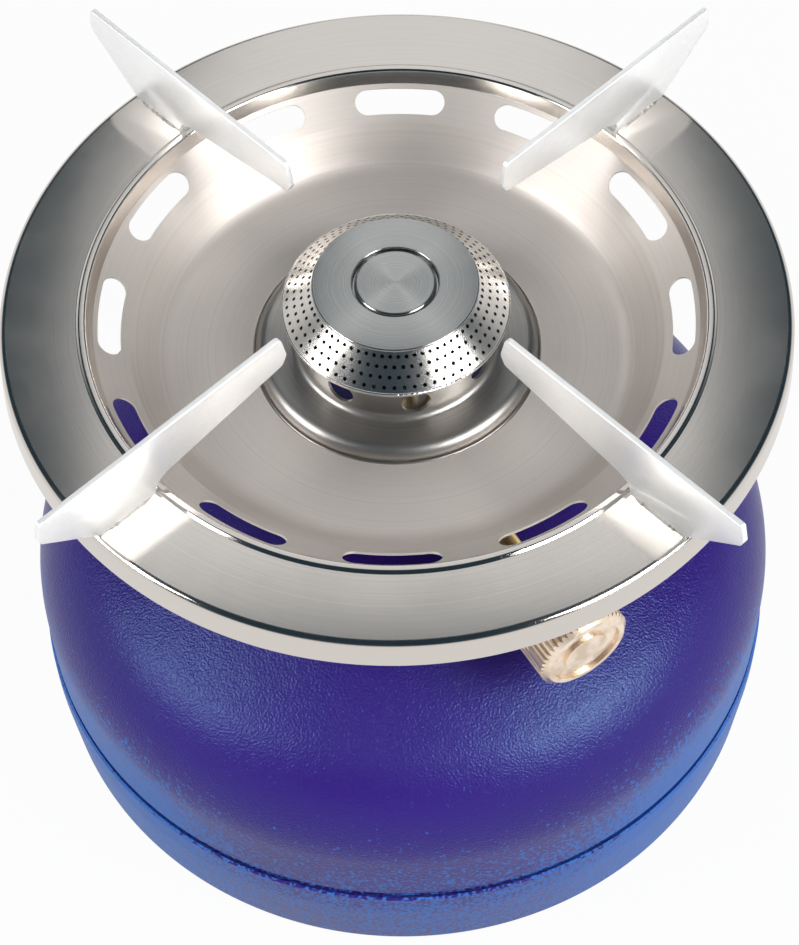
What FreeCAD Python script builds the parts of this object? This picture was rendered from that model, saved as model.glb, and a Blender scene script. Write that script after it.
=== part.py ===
import FreeCAD, Part
import math
import os

from FreeCAD import Vector

# Single-burner gas stove screwed onto a squat refillable gas cylinder.
# Millimetres. Z is up, the origin is the centre of the foot ring on the ground,
# and -Y is the front.

# Gas cylinder
CYLINDER_R = 102.5
SHELL_T = 2.5
WALL_TOP_Z = 49.5
DOME_KNUCKLE_R = 33.0
DOME_CROWN_R = 195.0
FOOT_H = 30.0
FOOT_T = 2.0
FOOT_PROUD = 0.7
FOOT_BAND_H = 8.0
FOOT_TAPER = 1.7
FOOT_BEND_R = 40.0
FOOT_ROLL_R = 3.5
FOOT_ROLL_W = 6.0
JOGGLE_H = 2.2
SEAM_GAP = 0.3
LAP_STOP = 0.8
LAP_GAP = 0.3
DISH_KNUCKLE_R = 14.0
DISH_DEPTH = 20.0

# Cylinder valve
BOSS_R = 15.0
BOSS_EDGE_R = 1.0
BOSS_RISE = 5.3
BOSS_H = 21.5
THREAD_R = 8.0
THREAD_L = 8.0
THREAD_GAP = 0.05
THREAD_RUNOUT = 1.0
SHELF_T = 2.0
SHELF_HOLE_GAP = 0.6
SEAT_T = 2.0
SEAT_HOLE_R = 3.2
BALL_R = 4.5
BALL_GAP = 0.7
BALL_LIFT = 1.5
CAGE_WALL = 3.8
CAGE_FLOOR_T = 1.5
CAGE_HOLE_R = 1.8
CAGE_EDGE_R = 0.8
CAGE_WINDOW_W = 3.0
CAGE_WINDOW_H = 2.5
CAGE_WINDOW_LIFT = 0.5
SPRING_H = 5.8
SPRING_R = 3.6
SPRING_WIRE_R = 0.4
SPRING_TURNS = 4
PIN_R = 1.6
PIN_HEAD_L = 3.0
PIN_SLOT_W = 1.0

# Stove valve, measured from the cylinder's boss upwards and from the axis outwards
SEAL_T = 1.5
SEAL_R = 12.0
SEAL_GAP = 0.3
HEX_AF = 24.0
HEX_H = 3.2
BLOCK_R = 10.0
BLOCK_H = 13.0
NOSE_BORE_R = 2.0
FEED_R = 0.9
FEED_X = 8.0
STEM_RISE = 4.8
STEM_ANGLE = -57.5
STEM_R = 4.0
STEM_COLLAR_W = 0.9
ARM_WALL = 2.15
ARM_L = 26.0
CHAMBER_R = 3.05
CHAMBER_X = 5.0
NEEDLE_SEAT_R = 1.0
NEEDLE_REACH = 0.8
NEEDLE_CONE = 30.0
NEEDLE_CONE_R = 2.25
NEEDLE_L = 11.0
NEEDLE_TRAVEL = 1.5
KEY_W = 2.4
KEY_L = 3.5
KEY_GAP = 0.05
KEY_SPARE = 0.5
GLAND_POCKET_X = 18.0
GLAND_GAP = 0.15
GLAND_HEX_AF = 13.0
GLAND_HEX_L = 5.0
COLLAR_T = 1.5
COLLAR_END_GAP = 2.0
PACKING_T = 1.5
RUN_GAP = 0.05
PRESS_GAP = 0.02

# Knob
KNOB_R = 12.7
KNOB_FACE_X = 88.3
KNOB_L = 18.0
KNOB_FLUTES = 48
KNOB_FLUTE_D = 0.75
KNOB_FRONT_BEVEL = 1.5
KNOB_BACK_BEVEL = 1.1
KNOB_EDGE_R = 0.4
KNOB_RING_W = 1.5
KNOB_DISH_D = 0.8
KNOB_CENTRE_R = 6.2
KNOB_WALL = 3.0
KNOB_SLEEVE = 2.5
KNOB_HOLLOW_L = 8.0
KNOB_FRONT_T = 6.0

# Injector and mixing tube
NIPPLE_R = 6.0
NIPPLE_H = 6.0
JET_R = 3.0
JET_L = 9.0
JET_HEX_AF = 8.0
JET_HEX_L = 3.0
JET_HOLE_R = 0.25
JET_TIP_T = 1.0
FILTER_R = 1.2
FILTER_L = 3.5
FILTER_INSET = 0.5
TUBE_R = 8.0
TUBE_BORE_R = 6.5
TUBE_STAND = 3.0
TUBE_COLLAR_R = 12.0
TUBE_COLLAR_T = 2.0
AIR_HOLE_R = 3.0
AIR_HOLE_RISE = 4.8
AIR_HOLES = 4

# Pan, measured inwards from its rim and downwards from its flange
STOVE_H = 54.5
RIM_R = 99.0
RIM_EDGE_R = 1.8
SKIRT_H = 8.0
SKIRT_FLARE = 0.6
PAN_T = 0.6
FLANGE_W = 19.2
BEAD_RISE = 0.5
BEAD_START = 0.7
BEAD_END = 2.3
BEAD_R = 0.8
CREASE_R = 0.3
LEDGE_IN = 3.9
LEDGE_W = 8.5
LEDGE_DROP = 3.15
LEDGE_SLOPE = 34.0
LEDGE_BEND_R = 0.8
LEDGE_LIP_R = 1.2
WALL_IN = 7.9
BOWL_BEND_R = 8.0
BOWL_DEPTH = 18.0
SLOTS = 12
SLOT_W = 6.8
SLOT_SPAN = 19.0
SLOT_IN = 4.6

# Air bell under the burner head
BELL_R = 36.0
BELL_T = 0.8
BELL_GAP = 0.8
BELL_FLANGE_W = 4.5
BELL_FLANGE_BEND_R = 0.6
BELL_RISE = 3.4
BELL_SLANT = 0.5
BELL_SHOULDER_R = 3.0
BELL_FOOT_R = 2.0
BELL_TOP_R = 1.4
BELL_NECK_R = 25.2
BELL_HOLES = 8
BELL_HOLE_R = 3.7
BELL_HOLE_DROP = 7.7
BELL_HOLE_ANGLE = -78.0
BELL_BORE_GAP = 0.1

# Burner head
HEAD_DROP = 1.0
HEAD_R = 28.7
HEAD_EDGE_R = 0.4
BASE_T = 1.1
HUB_WALL = 3.0
HUB_H = 4.5
SPIDER_WALL = 1.6
SPOKES = 3
SPOKE_W = 2.4
SPOKE_REACH = 1.5
RING_T = 0.6
RING_IN = 0.5
RING_TOP_R = 20.6
RING_H = 6.9
PORT_ROWS = 4
PORTS = 68
PORT_R = 0.5
PORT_FIRST = 0.13
PORT_LAST = 0.87
DRILL_L = 2.5
CAP_T = 2.6
CAP_LIFT = 0.7
CAP_CROWN = 0.5
CAP_OVERHANG = 0.3
CAP_EDGE_R = 0.6
CAP_PLUG_GAP = 0.6
CAP_LIP_R = 0.2
CAP_SCREW_R = 10.2
CAP_SCREW_GAP = 0.6
CAP_SCREW_T = 1.3
CAP_SCREW_SINK = 0.2
CAP_SCREW_EDGE_R = 0.7
CAP_STUD_R = 3.0
CAP_STUD_END = 1.0

# Pan supports
SUPPORTS = 4
SUPPORT_START = 45.0
SUPPORT_T = 1.5
SUPPORT_H = 21.2
SUPPORT_OVERHANG = 13.8
SUPPORT_INNER_R = 38.3
SUPPORT_NOSE_H = 13.8
SUPPORT_NOTCH_H = 5.0
SUPPORT_INNER_H = 10.9
SUPPORT_BEND_R = 1.6
SUPPORT_NOTCH_IN = 3.8
SUPPORT_NOTCH_R = 2.0
SUPPORT_HEEL = 0.6
SUPPORT_HEEL_H = 3.4
SUPPORT_HEEL_R = 1.2
SUPPORT_TIP_OUT = 1.2
SUPPORT_TIP_DROP = 5.2
SUPPORT_TIP_BACK = 0.4
SUPPORT_TIP_R = 0.8
SUPPORT_THROAT_W = 1.5
WELD_LEG = 1.0
WELD_INSET = 1.5

UP = Vector(0, 0, 1)
ORIGIN = Vector(0, 0, 0)
SHORTEST_EDGE = 1e-6
LEAST_BEND_R = 0.05
os.makedirs("parts", exist_ok=True)


def save(name, shape):
    shape.exportStep("parts/" + name + ".step")
    print(name, len(shape.Solids), round(shape.Volume, 1), shape.isValid())


def point(r, z):
    return Vector(r, 0, z)


def rounded(corners):
    """Closed wire through (r, z, fillet radius) corners, each corner a tangent arc."""
    count = len(corners)
    starts = []
    arcs = []
    for i, (r, z, fillet) in enumerate(corners):
        here = point(r, z)
        if fillet <= 0:
            starts.append((here, here))
            arcs.append(None)
            continue
        before = point(*corners[i - 1][:2])
        after = point(*corners[(i + 1) % count][:2])
        a = (before - here).normalize()
        b = (after - here).normalize()
        half = a.getAngle(b) / 2
        reach = fillet / math.tan(half)
        enter = here + a * reach
        leave = here + b * reach
        middle = (a + b).normalize()
        centre = here + middle * (fillet / math.sin(half))
        arcs.append(Part.Arc(enter, centre - middle * fillet, leave).toShape())
        starts.append((enter, leave))
    edges = []
    for i in range(count):
        if arcs[i] is not None:
            edges.append(arcs[i])
        tail = starts[i][1]
        head = starts[(i + 1) % count][0]
        if (head - tail).Length > SHORTEST_EDGE:
            edges.append(Part.makeLine(tail, head))
    return Part.Wire(edges)


def turned(corners):
    """Solid of revolution about Z from a closed outline of (r, z) or (r, z, fillet) corners."""
    full = [c if len(c) == 3 else (c[0], c[1], 0) for c in corners]
    face = Part.Face(rounded(full))
    return face.revolve(ORIGIN, UP, 360)


def sheet(path, thickness):
    """Revolved sheet metal. path is its upper side, inner edge first; the sheet lies below it."""
    normals = []
    for (r1, z1, _), (r2, z2, _) in zip(path, path[1:]):
        along = point(r2 - r1, z2 - z1).normalize()
        normals.append(Vector(along.z, 0, -along.x))
    under = []
    for i, (r, z, fillet) in enumerate(path):
        before = normals[max(i - 1, 0)]
        after = normals[min(i, len(normals) - 1)]
        mean = (before + after).normalize()
        shift = mean * (thickness / mean.dot(before))
        turn = before.z * after.x - before.x * after.z
        bend = fillet + thickness if turn > 0 else fillet - thickness
        if i in (0, len(path) - 1):
            bend = 0
        else:
            bend = max(bend, LEAST_BEND_R)
        under.append((r + shift.x, z + shift.z, bend))
    return turned(path + under[::-1])


def tube(outer, inner, low, high):
    return turned([(inner, low), (outer, low), (outer, high), (inner, high)])


def disc(radius, low, high):
    return Part.makeCylinder(radius, high - low, point(0, low), UP)


def prism(sides, across_flats, low, high, start=0.0):
    """Regular prism about Z, given by its size across flats."""
    radius = across_flats / 2 / math.cos(math.pi / sides)
    corners = []
    for k in range(sides + 1):
        angle = math.radians(start) + 2 * math.pi * k / sides
        corners.append(Vector(radius * math.cos(angle), radius * math.sin(angle), low))
    return Part.Face(Part.makePolygon(corners)).extrude(UP * (high - low))


def around(shape, angle):
    copy = shape.copy()
    copy.rotate(ORIGIN, UP, angle)
    return copy


def arc_mid(centre, radius, start, end):
    """Arc in the XZ plane about a centre, between two angles in degrees."""
    points = []
    for angle in (start, (start + end) / 2, end):
        a = math.radians(angle)
        points.append(centre + Vector(radius * math.cos(a), 0, radius * math.sin(a)))
    return Part.Arc(*points).toShape()


def dished(radius, knuckle, crown, thickness, base_z, skirt_z, up):
    """Pressure head: crown and knuckle arcs with a straight skirt down to skirt_z."""
    side = 1 if up else -1
    reach = radius - knuckle
    lift = math.sqrt((crown - knuckle) ** 2 - reach ** 2)
    knuckle_c = point(reach, base_z)
    crown_c = point(0, base_z - side * lift)
    meet = math.degrees(math.atan2(side * lift, reach))
    edges = []
    for inset in (0.0, thickness):
        edges.append(arc_mid(knuckle_c, knuckle - inset, 0, meet))
        edges.append(arc_mid(crown_c, crown - inset, meet, side * 90))
        edges.append(Part.makeLine(point(radius - inset, base_z), point(radius - inset, skirt_z)))
    pole_z = base_z + side * (crown - lift)
    edges.append(Part.makeLine(point(0, pole_z), point(0, pole_z - side * thickness)))
    edges.append(Part.makeLine(point(radius, skirt_z), point(radius - thickness, skirt_z)))
    wire = Part.Wire(Part.__sortEdges__(edges))
    return Part.Face(wire).revolve(ORIGIN, UP, 360), pole_z


# Upper shell: domed head whose lower end is set in to take the foot ring
foot_r = CYLINDER_R + FOOT_PROUD
lap_r = foot_r - FOOT_T - LAP_GAP
joggle_low = FOOT_H + SEAM_GAP
joggle_top = joggle_low + JOGGLE_H
lap_low = FOOT_H - FOOT_BAND_H + LAP_STOP
dome, dome_top = dished(CYLINDER_R, DOME_KNUCKLE_R, DOME_CROWN_R, SHELL_T, WALL_TOP_Z, joggle_top, True)
lap = turned([
    (CYLINDER_R, joggle_top),
    (lap_r, joggle_low),
    (lap_r, lap_low),
    (lap_r - SHELL_T, lap_low),
    (lap_r - SHELL_T, joggle_low),
    (CYLINDER_R - SHELL_T, joggle_top),
])
boss_top = dome_top + BOSS_RISE
boss_low = boss_top - BOSS_H
upper_shell = dome.fuse(lap).removeSplitter()
upper_shell = upper_shell.cut(disc(BOSS_R, boss_low, boss_top))
save("upper_shell", upper_shell)

# Lower shell: shallow dished head that slips up inside the lap
dish_r = lap_r - SHELL_T - LAP_GAP
dish_reach = dish_r - DISH_KNUCKLE_R
dish_span = DISH_DEPTH ** 2 + dish_reach ** 2 - DISH_KNUCKLE_R ** 2
dish_crown = dish_span / (2 * (DISH_DEPTH - DISH_KNUCKLE_R))
dish_base = (joggle_low + lap_low) / 2
lower_shell, dish_pole = dished(
    dish_r, DISH_KNUCKLE_R, dish_crown, SHELL_T, dish_base, joggle_low, False)
save("lower_shell", lower_shell)

# Foot ring: straight band at the top, slight taper, rolled edge to stand on
foot_low_r = foot_r - FOOT_TAPER
foot_path = [
    (foot_low_r - FOOT_ROLL_W, 0, 0),
    (foot_low_r, 0, FOOT_ROLL_R),
    (foot_r, FOOT_H - FOOT_BAND_H, FOOT_BEND_R),
    (foot_r, FOOT_H, 0),
]
save("foot_ring", sheet(foot_path, -FOOT_T))

# Neck boss welded through the crown, bored for the stove's thread and the check valve
cage_bore_r = BALL_R + BALL_GAP
cage_r = cage_bore_r + CAGE_WALL
shelf_z = boss_top - THREAD_L - THREAD_RUNOUT
seat_top = shelf_z - SHELF_T
shelf_hole_r = SEAT_HOLE_R + SHELF_HOLE_GAP
neck_boss = turned([
    (THREAD_R + THREAD_GAP, boss_top),
    (BOSS_R, boss_top, BOSS_EDGE_R),
    (BOSS_R, boss_low),
    (cage_r + THREAD_GAP, boss_low),
    (cage_r + THREAD_GAP, seat_top),
    (shelf_hole_r, seat_top),
    (shelf_hole_r, shelf_z),
    (THREAD_R + THREAD_GAP, shelf_z),
])
save("neck_boss", neck_boss)

# Check valve: rubber seat, ball, spring and the cage that holds them in the boss
seat_low = seat_top - SEAT_T
save("valve_seat", tube(cage_r - THREAD_GAP, SEAT_HOLE_R, seat_low, seat_top))
ball_z = seat_low - math.sqrt(BALL_R ** 2 - SEAT_HOLE_R ** 2) - BALL_LIFT
save("valve_ball", Part.makeSphere(BALL_R, point(0, ball_z)))
spring_reach = math.sqrt((BALL_R + SPRING_WIRE_R) ** 2 - SPRING_R ** 2)
spring_top = ball_z - spring_reach + SPRING_WIRE_R - RUN_GAP
cage_floor = spring_top - SPRING_H
cage_low = cage_floor - CAGE_FLOOR_T
cage = turned([
    (CAGE_HOLE_R, cage_low),
    (cage_r, cage_low, CAGE_EDGE_R),
    (cage_r, seat_low),
    (cage_bore_r, seat_low),
    (cage_bore_r, cage_floor),
    (CAGE_HOLE_R, cage_floor),
])
window_corner = Vector(-2 * cage_r, -CAGE_WINDOW_W / 2, cage_floor + CAGE_WINDOW_LIFT)
window = Part.makeBox(4 * cage_r, CAGE_WINDOW_W, CAGE_WINDOW_H, window_corner)
cage = cage.cut(window).cut(around(window, 90))
save("valve_cage", cage)


def coil(radius, wire, low, high, turns):
    """Compression spring wound about Z, as one pipe along a helix between two heights."""
    height = high - low - 2 * wire
    path = Part.makeHelix(height / turns, height, radius)
    path.translate(point(0, low + wire))
    ring = Part.Wire(Part.makeCircle(wire, Vector(radius, 0, low + wire), Vector(0, 1, 0)))
    return Part.Wire(path.Edges).makePipeShell([ring], True, True)


save("valve_spring", coil(SPRING_R, SPRING_WIRE_R, cage_floor, spring_top, SPRING_TURNS))

# Stove valve body: threaded nose, hexagon, block, side arm for the stem, nipple for the tube
seal_top = boss_top + SEAL_T
hex_top = seal_top + HEX_H
block_top = hex_top + BLOCK_H
nipple_top = block_top + NIPPLE_H
nose_low = boss_top - THREAD_L
stem_z = hex_top + STEM_RISE
collar_r = STEM_R + STEM_COLLAR_W
gland_pocket_r = collar_r + GLAND_GAP
arm_r = gland_pocket_r + ARM_WALL
jet_low = nipple_top - JET_L + JET_HEX_L


def along_stem(shape):
    """Lay a shape built along Z onto the valve stem's axis, so that z becomes the reach."""
    copy = shape.copy()
    copy.rotate(ORIGIN, Vector(0, 1, 0), 90)
    copy.rotate(ORIGIN, UP, STEM_ANGLE)
    copy.translate(point(0, stem_z))
    return copy


body = disc(THREAD_R, nose_low, seal_top)
body = body.fuse(prism(6, HEX_AF, seal_top, hex_top, STEM_ANGLE))
body = body.fuse(disc(BLOCK_R, hex_top, block_top))
body = body.fuse(disc(NIPPLE_R, block_top, nipple_top))
body = body.fuse(along_stem(disc(arm_r, 0, ARM_L)))
body = body.cut(disc(NOSE_BORE_R, nose_low, stem_z))
body = body.cut(along_stem(disc(NEEDLE_SEAT_R, 0, CHAMBER_X)))
body = body.cut(along_stem(disc(CHAMBER_R, CHAMBER_X, GLAND_POCKET_X)))
body = body.cut(along_stem(disc(gland_pocket_r, GLAND_POCKET_X, ARM_L)))
body = body.cut(disc(JET_R + THREAD_GAP, jet_low, nipple_top))
feed_out = math.radians(STEM_ANGLE)
feed_start = Vector(FEED_X * math.cos(feed_out), FEED_X * math.sin(feed_out), stem_z)
feed_run = point(0, jet_low + FEED_R / 2) - feed_start
feed = Part.makeCylinder(FEED_R, feed_run.Length, feed_start, feed_run)
body = body.cut(feed).removeSplitter()
save("valve_body", body)

# Push pin pressed in the nose, with a cross slot for the gas
pin_low = ball_z + BALL_R + RUN_GAP
pin_top = nose_low + PIN_HEAD_L
pin = disc(PIN_R, pin_low, pin_top)
pin = pin.fuse(disc(NOSE_BORE_R, nose_low, pin_top))
pin_slot = Part.makeBox(
    4 * NOSE_BORE_R, PIN_SLOT_W, PIN_HEAD_L + PIN_SLOT_W,
    Vector(-2 * NOSE_BORE_R, -PIN_SLOT_W / 2, nose_low - PIN_SLOT_W / 2))
save("push_pin", pin.cut(pin_slot))

save("inlet_seal", tube(SEAL_R, THREAD_R + SEAL_GAP, boss_top, seal_top))

# Needle: cone tip, threaded body, square socket for the stem's key
needle_tip = CHAMBER_X - NEEDLE_REACH
needle_end = needle_tip + NEEDLE_L
needle_r = CHAMBER_R - RUN_GAP
cone_rise = math.tan(math.radians(NEEDLE_CONE))
at_seat_r = NEEDLE_SEAT_R - RUN_GAP
cone_end = CHAMBER_X + (NEEDLE_CONE_R - at_seat_r) / cone_rise
needle = turned([
    (0, needle_tip),
    (at_seat_r - NEEDLE_REACH * cone_rise, needle_tip),
    (NEEDLE_CONE_R, cone_end),
    (needle_r, cone_end),
    (needle_r, needle_end),
    (0, needle_end),
])
key_x = needle_end - KEY_L
socket = prism(4, KEY_W, key_x - NEEDLE_TRAVEL - KEY_SPARE, needle_end, 45)
save("needle", along_stem(needle.cut(socket)))

# Stem: square key, retaining collar, long shank to the knob
collar_x = GLAND_POCKET_X + COLLAR_END_GAP
packing_x = collar_x + COLLAR_T
gland_x = packing_x + PACKING_T
stem_end = KNOB_FACE_X - KNOB_FRONT_T
stem = prism(4, KEY_W - 2 * KEY_GAP, key_x, collar_x, 45)
stem = stem.fuse(disc(collar_r, collar_x, packing_x))
stem = stem.fuse(disc(STEM_R, packing_x, stem_end))
save("stem", along_stem(stem.removeSplitter()))

packing = tube(gland_pocket_r - RUN_GAP, STEM_R + RUN_GAP, packing_x, gland_x)
save("packing_ring", along_stem(packing))

gland_end = ARM_L + GLAND_HEX_L
gland = disc(gland_pocket_r - THREAD_GAP, gland_x, ARM_L)
gland = gland.fuse(prism(6, GLAND_HEX_AF, ARM_L, gland_end))
gland = gland.cut(disc(STEM_R + RUN_GAP, gland_x, gland_end))
save("gland_nut", along_stem(gland.removeSplitter()))


def fluted(radius, depth, count, low, high):
    """Straight-fluted bar about Z with flat-topped ribs."""
    corners = []
    for k in range(count):
        for share, inset in ((0.0, 0.0), (0.4, 0.0), (0.7, depth)):
            angle = 2 * math.pi * (k + share) / count
            reach = radius - inset
            corners.append(Vector(reach * math.cos(angle), reach * math.sin(angle), low))
    corners.append(corners[0])
    return Part.Face(Part.makePolygon(corners)).extrude(UP * (high - low))


# Knob: fluted skirt, dished face with a plain rim and a raised centre
knob_back_x = KNOB_FACE_X - KNOB_L
knob = fluted(KNOB_R, KNOB_FLUTE_D, KNOB_FLUTES, knob_back_x, KNOB_FACE_X)
knob_outline = turned([
    (0, knob_back_x),
    (KNOB_R - KNOB_BACK_BEVEL, knob_back_x),
    (KNOB_R, knob_back_x + KNOB_BACK_BEVEL),
    (KNOB_R, KNOB_FACE_X - KNOB_FRONT_BEVEL),
    (KNOB_R - KNOB_FRONT_BEVEL, KNOB_FACE_X, KNOB_EDGE_R),
    (0, KNOB_FACE_X),
])
knob = knob.common(knob_outline)
dish_outer_r = KNOB_R - KNOB_FRONT_BEVEL - KNOB_RING_W
knob = knob.cut(tube(dish_outer_r, KNOB_CENTRE_R, KNOB_FACE_X - KNOB_DISH_D, KNOB_FACE_X))
hollow_end = knob_back_x + KNOB_HOLLOW_L
knob = knob.cut(tube(KNOB_R - KNOB_WALL, STEM_R + KNOB_SLEEVE, knob_back_x, hollow_end))
knob = knob.cut(disc(STEM_R + PRESS_GAP, knob_back_x, stem_end))
save("knob", along_stem(knob))

# Injector with its filter
jet_top = nipple_top + JET_HEX_L
jet = disc(JET_R, jet_low, nipple_top)
jet = jet.fuse(prism(6, JET_HEX_AF, nipple_top, jet_top))
jet = jet.cut(disc(FILTER_R + PRESS_GAP, jet_low, jet_top - JET_TIP_T))
jet = jet.cut(disc(JET_HOLE_R, jet_top - JET_TIP_T, jet_top))
save("jet", jet)
filter_low = jet_low + FILTER_INSET
save("jet_filter", disc(FILTER_R, filter_low, filter_low + FILTER_L))

# Mixing tube: screwed on the nipple, air holes low down, collar and thread at the top
flange_z = boss_top + STOVE_H
head_z = flange_z - HEAD_DROP
collar_top = head_z - BELL_T
tube_top = head_z + TUBE_STAND
mixing_tube = turned([
    (NIPPLE_R + THREAD_GAP, block_top),
    (TUBE_R, block_top),
    (TUBE_R, collar_top - TUBE_COLLAR_T),
    (TUBE_COLLAR_R, collar_top - TUBE_COLLAR_T, HEAD_EDGE_R),
    (TUBE_COLLAR_R, collar_top, HEAD_EDGE_R),
    (TUBE_R, collar_top),
    (TUBE_R, tube_top),
    (TUBE_BORE_R, tube_top),
    (TUBE_BORE_R, nipple_top),
    (NIPPLE_R + THREAD_GAP, nipple_top),
])
air_hole_z = jet_top + AIR_HOLE_RISE
air_hole = Part.makeCylinder(AIR_HOLE_R, 2 * TUBE_R, point(0, air_hole_z), Vector(1, 0, 0))
for k in range(AIR_HOLES):
    mixing_tube = mixing_tube.cut(around(air_hole, STEM_ANGLE + 360 / AIR_HOLES * (k + 0.5)))
save("mixing_tube", mixing_tube)

# Air bell: flange under the pan's floor, shoulder through the hole, neck with air holes
floor_z = flange_z - BOWL_DEPTH
bell_flange_z = floor_z - PAN_T
shoulder_z = floor_z + BELL_RISE
bell_path = [
    (TUBE_R + BELL_BORE_GAP, head_z, 0),
    (BELL_NECK_R, head_z, BELL_TOP_R),
    (BELL_NECK_R, shoulder_z + BELL_SLANT, BELL_FOOT_R),
    (BELL_R, shoulder_z, BELL_SHOULDER_R),
    (BELL_R, bell_flange_z, BELL_FLANGE_BEND_R),
    (BELL_R + BELL_FLANGE_W, bell_flange_z, 0),
]
bell = sheet(bell_path, BELL_T)
bell_hole_z = head_z - BELL_HOLE_DROP
bell_hole = Part.makeCylinder(BELL_HOLE_R, 2 * BELL_NECK_R, point(0, bell_hole_z), Vector(1, 0, 0))
for k in range(BELL_HOLES):
    bell = bell.cut(around(bell_hole, BELL_HOLE_ANGLE + 360 / BELL_HOLES * k))
save("air_bell", bell)

# Burner base: plate with a threaded hub and a spider for the cap's stud
base_top = head_z + BASE_T
hub_top = head_z + HUB_H
hub_r = TUBE_R + HUB_WALL
ring_top_z = base_top + RING_H
cap_top = ring_top_z + CAP_LIFT
cap_low = cap_top - CAP_T
burner_base = turned([
    (TUBE_R + THREAD_GAP, head_z),
    (HEAD_R, head_z, HEAD_EDGE_R),
    (HEAD_R, base_top, HEAD_EDGE_R),
    (hub_r, base_top),
    (hub_r, hub_top),
    (TUBE_R + THREAD_GAP, hub_top),
])
burner_base = burner_base.fuse(disc(CAP_STUD_R + SPIDER_WALL, tube_top, cap_low))
spoke_l = TUBE_R + SPOKE_REACH
spoke = Part.makeBox(spoke_l, SPOKE_W, hub_top - tube_top, Vector(0, -SPOKE_W / 2, tube_top))
for k in range(SPOKES):
    burner_base = burner_base.fuse(around(spoke, 360 / SPOKES * k))
burner_base = burner_base.cut(disc(CAP_STUD_R + THREAD_GAP, head_z, cap_low))
save("burner_base", burner_base.removeSplitter())

# Burner ring: cone of thin sheet with rows of flame ports
ring_low_r = HEAD_R - RING_IN
slope = math.atan2(RING_H, ring_low_r - RING_TOP_R)
ring_wall = RING_T / math.sin(slope)
burner_ring = turned([
    (ring_low_r - ring_wall, base_top),
    (ring_low_r, base_top),
    (RING_TOP_R, ring_top_z),
    (RING_TOP_R - ring_wall, ring_top_z),
])
inward = Vector(-math.sin(slope), 0, -math.cos(slope))
drills = []
for row in range(PORT_ROWS):
    share = PORT_FIRST + (PORT_LAST - PORT_FIRST) * row / (PORT_ROWS - 1)
    port_r = ring_low_r + (RING_TOP_R - ring_low_r) * share
    mouth = point(port_r, base_top + RING_H * share) - inward * (DRILL_L / 2)
    drill = Part.makeCylinder(PORT_R, DRILL_L, mouth, inward)
    for k in range(PORTS):
        drills.append(around(drill, 360 / PORTS * (k + 0.5 * (row % 2))))
burner_ring = burner_ring.cut(Part.makeCompound(drills))
save("burner_ring", burner_ring)

# Burner cap: turned disc that sits on the ring, with a pocket for the screw's head
cap_r = RING_TOP_R + CAP_OVERHANG
plug_r = RING_TOP_R - ring_wall - CAP_PLUG_GAP
crown_z = cap_top + CAP_CROWN
pocket_r = CAP_SCREW_R + CAP_SCREW_GAP
pocket_z = crown_z - CAP_SCREW_T - CAP_SCREW_SINK
burner_cap = turned([
    (CAP_STUD_R + RUN_GAP, cap_low),
    (plug_r, cap_low),
    (plug_r, ring_top_z),
    (cap_r, ring_top_z),
    (cap_r, cap_top, CAP_EDGE_R),
    (pocket_r, crown_z, CAP_LIP_R),
    (pocket_r, pocket_z),
    (CAP_STUD_R + RUN_GAP, pocket_z),
])
save("burner_cap", burner_cap)

screw_low = tube_top - CAP_STUD_END
screw_top = pocket_z + CAP_SCREW_T
cap_screw = turned([
    (0, screw_low),
    (CAP_STUD_R, screw_low),
    (CAP_STUD_R, pocket_z),
    (CAP_SCREW_R, pocket_z),
    (CAP_SCREW_R, screw_top, CAP_SCREW_EDGE_R),
    (0, screw_top),
])
save("cap_screw", cap_screw)

# Pan: bowl, sloped ledge with slots, bead, flange and skirt from one blank
tilt = math.radians(LEDGE_SLOPE)
flange_inner_r = RIM_R - FLANGE_W
ledge_outer_r = flange_inner_r - LEDGE_IN
ledge_inner_r = ledge_outer_r - LEDGE_W
ledge_outer_z = flange_z - LEDGE_DROP
ledge_inner_z = ledge_outer_z - LEDGE_W * math.tan(tilt)
bead_z = flange_z + BEAD_RISE
pan_path = [
    (BELL_R + BELL_GAP, floor_z, 0),
    (ledge_inner_r - WALL_IN, floor_z, BOWL_BEND_R),
    (ledge_inner_r, ledge_inner_z, LEDGE_LIP_R),
    (ledge_outer_r, ledge_outer_z, LEDGE_BEND_R),
    (flange_inner_r - BEAD_END, bead_z, BEAD_R),
    (flange_inner_r - BEAD_START, bead_z, BEAD_R),
    (flange_inner_r, flange_z, CREASE_R),
    (RIM_R, flange_z, RIM_EDGE_R),
    (RIM_R + SKIRT_FLARE, flange_z - SKIRT_H, 0),
]
pan = sheet(pan_path, PAN_T)
slot_mid_r = ledge_inner_r + SLOT_IN
slot_mid_z = ledge_inner_z + SLOT_IN * math.tan(tilt)


def slot_cutter():
    """Round-ended slot bent around the ledge, square to the sheet."""
    half_angle = SLOT_SPAN / 2 - math.degrees(SLOT_W / 2 / slot_mid_r)
    middle = point(slot_mid_r, slot_mid_z)
    along = Vector(math.cos(tilt), 0, math.sin(tilt)) * (SLOT_W / 2)
    across = Vector(-math.sin(tilt), 0, math.cos(tilt)) * (3 * PAN_T)
    low_in = middle - along - across
    face = Part.Face(Part.makePolygon([
        low_in,
        middle + along - across,
        middle + along + across,
        middle - along + across,
        low_in,
    ]))
    bar = around(face.revolve(ORIGIN, UP, 2 * half_angle), -half_angle)
    end = Part.makeCylinder(SLOT_W / 2, 2 * across.Length, middle - across, across)
    for side in (-1, 1):
        bar = bar.fuse(around(end, side * half_angle))
    return bar


cutter = slot_cutter()
for k in range(SLOTS):
    pan = pan.cut(around(cutter, 360 / SLOTS * k))
save("pan", pan)

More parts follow.
